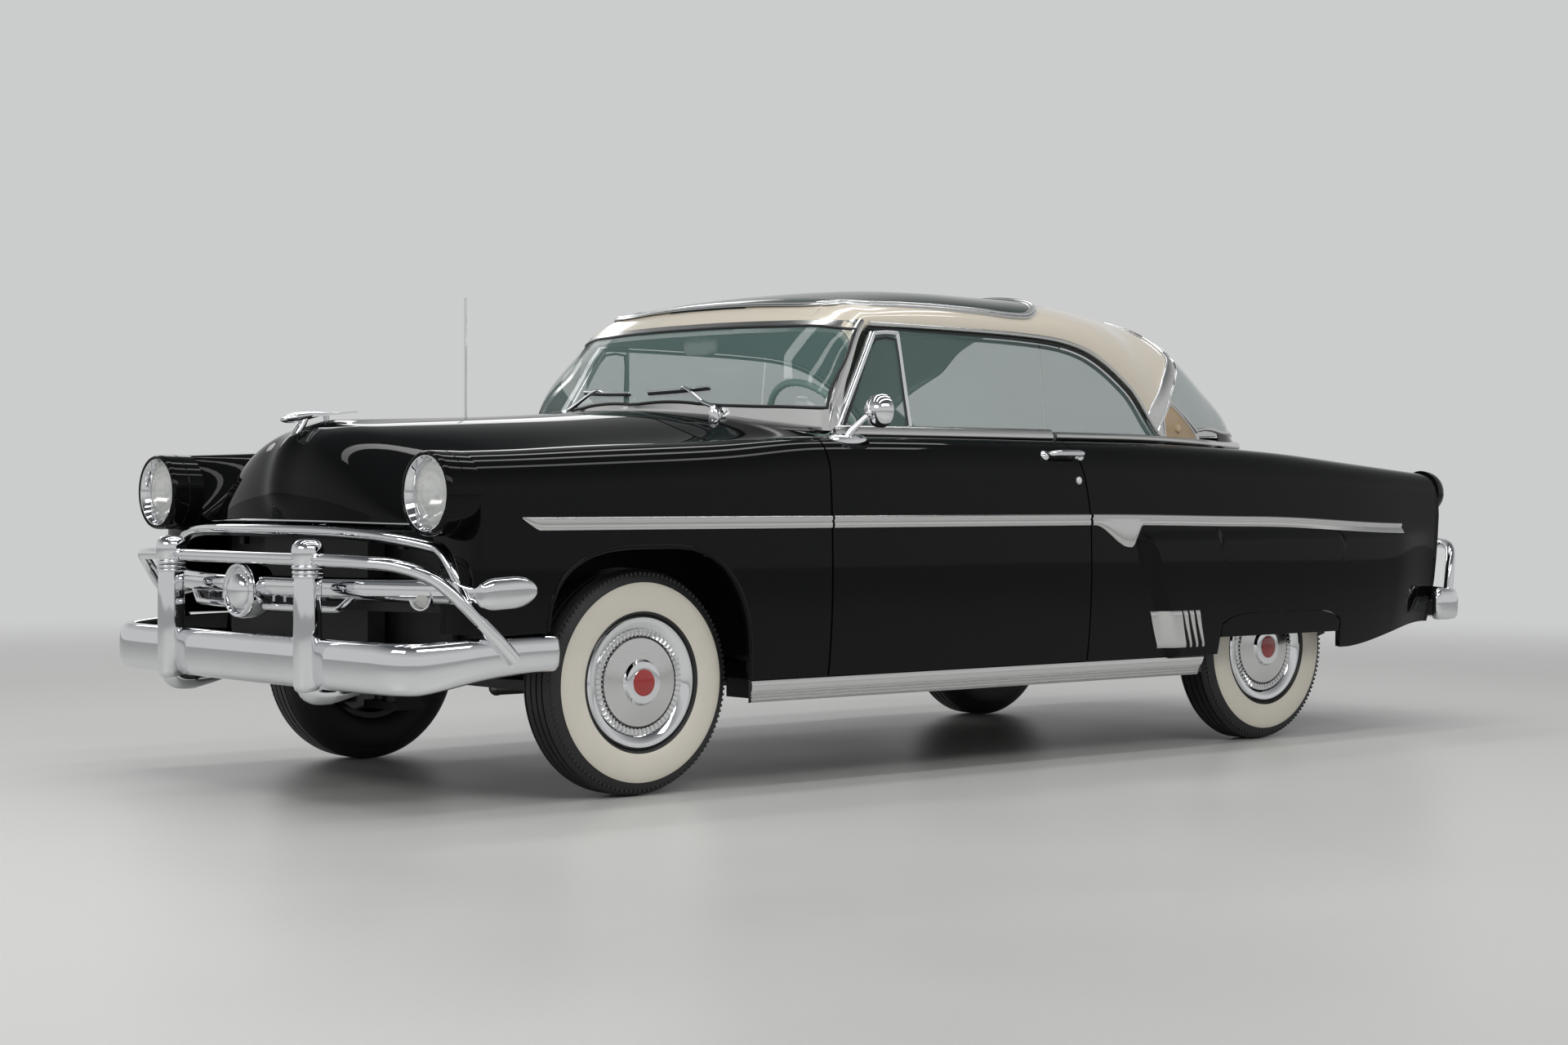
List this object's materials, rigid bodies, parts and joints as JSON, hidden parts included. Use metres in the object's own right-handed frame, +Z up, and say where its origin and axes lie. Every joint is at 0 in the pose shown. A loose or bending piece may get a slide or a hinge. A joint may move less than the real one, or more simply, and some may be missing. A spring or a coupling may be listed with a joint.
{
  "type": "two-door hardtop car",
  "caption": "Two-door hardtop car on a ladder frame with a see-through front roof panel, bumper guards, fender skirts and opening doors, hood and trunk.",
  "frame": {"origin": "on the floor, below the middle of the overall box", "axes": "+X forward, +Y to the car's left, +Z up"},
  "size_m": [5.1498, 1.8626, 1.61],
  "materials": {
    "frame_paint": "satin black chassis paint",
    "engine_paint": "painted cast iron",
    "exhaust_steel": "dull steel pipe",
    "black_paint": "deep gloss black",
    "cream_paint": "gloss cream",
    "chrome": "bright chrome",
    "window_glass": "pale tinted window glass",
    "roof_tint": "dark green transparent panel",
    "lamp_glass": "clear lamp glass",
    "red_lens": "red lamp lens",
    "dash_paint": "grey green interior paint",
    "seat_cloth": "grey woven cloth with vinyl bolsters",
    "wheel_rim": "pale green moulded rim",
    "tyre_rubber": "black rubber with a white side band",
    "cover_chrome": "bright wheel cover over a painted steel rim"
  },
  "bodies": {
    "body": {"chassis_frame": "frame_paint", "front_suspension": "frame_paint", "engine": "engine_paint", "radiator": "frame_paint", "rear_axle": "frame_paint", "leaf_springs": "frame_paint", "exhaust": "exhaust_steel", "fuel_tank": "frame_paint", "body_floor": "frame_paint", "front_support": "frame_paint", "front_panel": "black_paint", "grille": "chrome", "front_bumper": "chrome", "front_guard": "chrome", "rear_bumper": "chrome", "rear_guard": "chrome", "front_fender_left": "black_paint", "front_fender_right": "black_paint", "headlamp_housings": "black_paint", "front_lamps": "lamp_glass", "cowl": "black_paint", "dashboard": "dash_paint", "steering_column": "black_paint", "front_seat": "seat_cloth", "rear_seat": "seat_cloth", "windshield_frame": "chrome", "windshield": "window_glass", "roof": "cream_paint", "roof_glass": "roof_tint", "backlight": "window_glass", "quarter_glass": "window_glass", "quarter_left": "black_paint", "quarter_right": "black_paint", "fender_skirts": "black_paint", "rear_deck": "black_paint", "tail_panel": "black_paint", "tail_lamps": "red_lens", "antenna": "chrome"},
    "hood": {"hood": "black_paint", "hood_ornament": "chrome"},
    "trunk_lid": {"trunk_lid": "black_paint"},
    "door_left": {"door_left": "black_paint", "door_glass_left": "window_glass", "mirror": "chrome"},
    "door_right": {"door_right": "black_paint", "door_glass_right": "window_glass"},
    "knuckle_left": {"knuckle_left": "frame_paint"},
    "knuckle_right": {"knuckle_right": "frame_paint"},
    "steering_wheel": {"steering_wheel": "wheel_rim"},
    "wheel_front_left": {"wheel_front_left": "cover_chrome", "tyre_front_left": "tyre_rubber"},
    "wheel_front_right": {"wheel_front_right": "cover_chrome", "tyre_front_right": "tyre_rubber"},
    "wheel_rear_left": {"wheel_rear_left": "cover_chrome", "tyre_rear_left": "tyre_rubber"},
    "wheel_rear_right": {"wheel_rear_right": "cover_chrome", "tyre_rear_right": "tyre_rubber"}
  },
  "joints": [
    {"name": "door_left_swing", "type": "hinge", "parent": "body", "child": "door_left", "pos_m": [0.8845, 0.895, 0.7], "axis": [0, 0, -1], "range_deg": [0, 58]},
    {"name": "door_right_swing", "type": "hinge", "parent": "body", "child": "door_right", "pos_m": [0.8845, -0.895, 0.7], "axis": [0, 0, 1], "range_deg": [0, 58]},
    {"name": "hood_lift", "type": "hinge", "parent": "body", "child": "hood", "pos_m": [1.0535, 0, 1.18], "axis": [0, -1, 0], "range_deg": [0, 50]},
    {"name": "trunk_lid_lift", "type": "hinge", "parent": "body", "child": "trunk_lid", "pos_m": [-1.524, 0, 1.092], "axis": [0, 1, 0], "range_deg": [0, 60]},
    {"name": "steering_turn", "type": "hinge", "parent": "body", "child": "steering_wheel", "pos_m": [0.53, 0.355, 1.095], "axis": [-0.866, 0, 0.5], "range_deg": [-540, 540]},
    {"name": "steer_left", "type": "hinge", "parent": "body", "child": "knuckle_left", "pos_m": [1.63, 0.61, 0.341], "axis": [0, 0, 1], "range_deg": [-30, 30]},
    {"name": "steer_right", "type": "hinge", "parent": "body", "child": "knuckle_right", "pos_m": [1.63, -0.61, 0.341], "axis": [0, 0, 1], "range_deg": [-30, 30]},
    {"name": "wheel_front_left_spin", "type": "hinge", "parent": "knuckle_left", "child": "wheel_front_left", "pos_m": [1.63, 0.7365, 0.341], "axis": [0, 1, 0], "continuous": true},
    {"name": "wheel_front_right_spin", "type": "hinge", "parent": "knuckle_right", "child": "wheel_front_right", "pos_m": [1.63, -0.7365, 0.341], "axis": [0, 1, 0], "continuous": true},
    {"name": "wheel_rear_left_spin", "type": "hinge", "parent": "body", "child": "wheel_rear_left", "pos_m": [-1.304, 0.711, 0.341], "axis": [0, 1, 0], "continuous": true},
    {"name": "wheel_rear_right_spin", "type": "hinge", "parent": "body", "child": "wheel_rear_right", "pos_m": [-1.304, -0.711, 0.341], "axis": [0, 1, 0], "continuous": true}
  ],
  "couplings": [
    {"joint": "steer_left", "follows": "steering_turn", "ratio": 0.05555},
    {"joint": "steer_right", "follows": "steering_turn", "ratio": 0.05555}
  ]
}
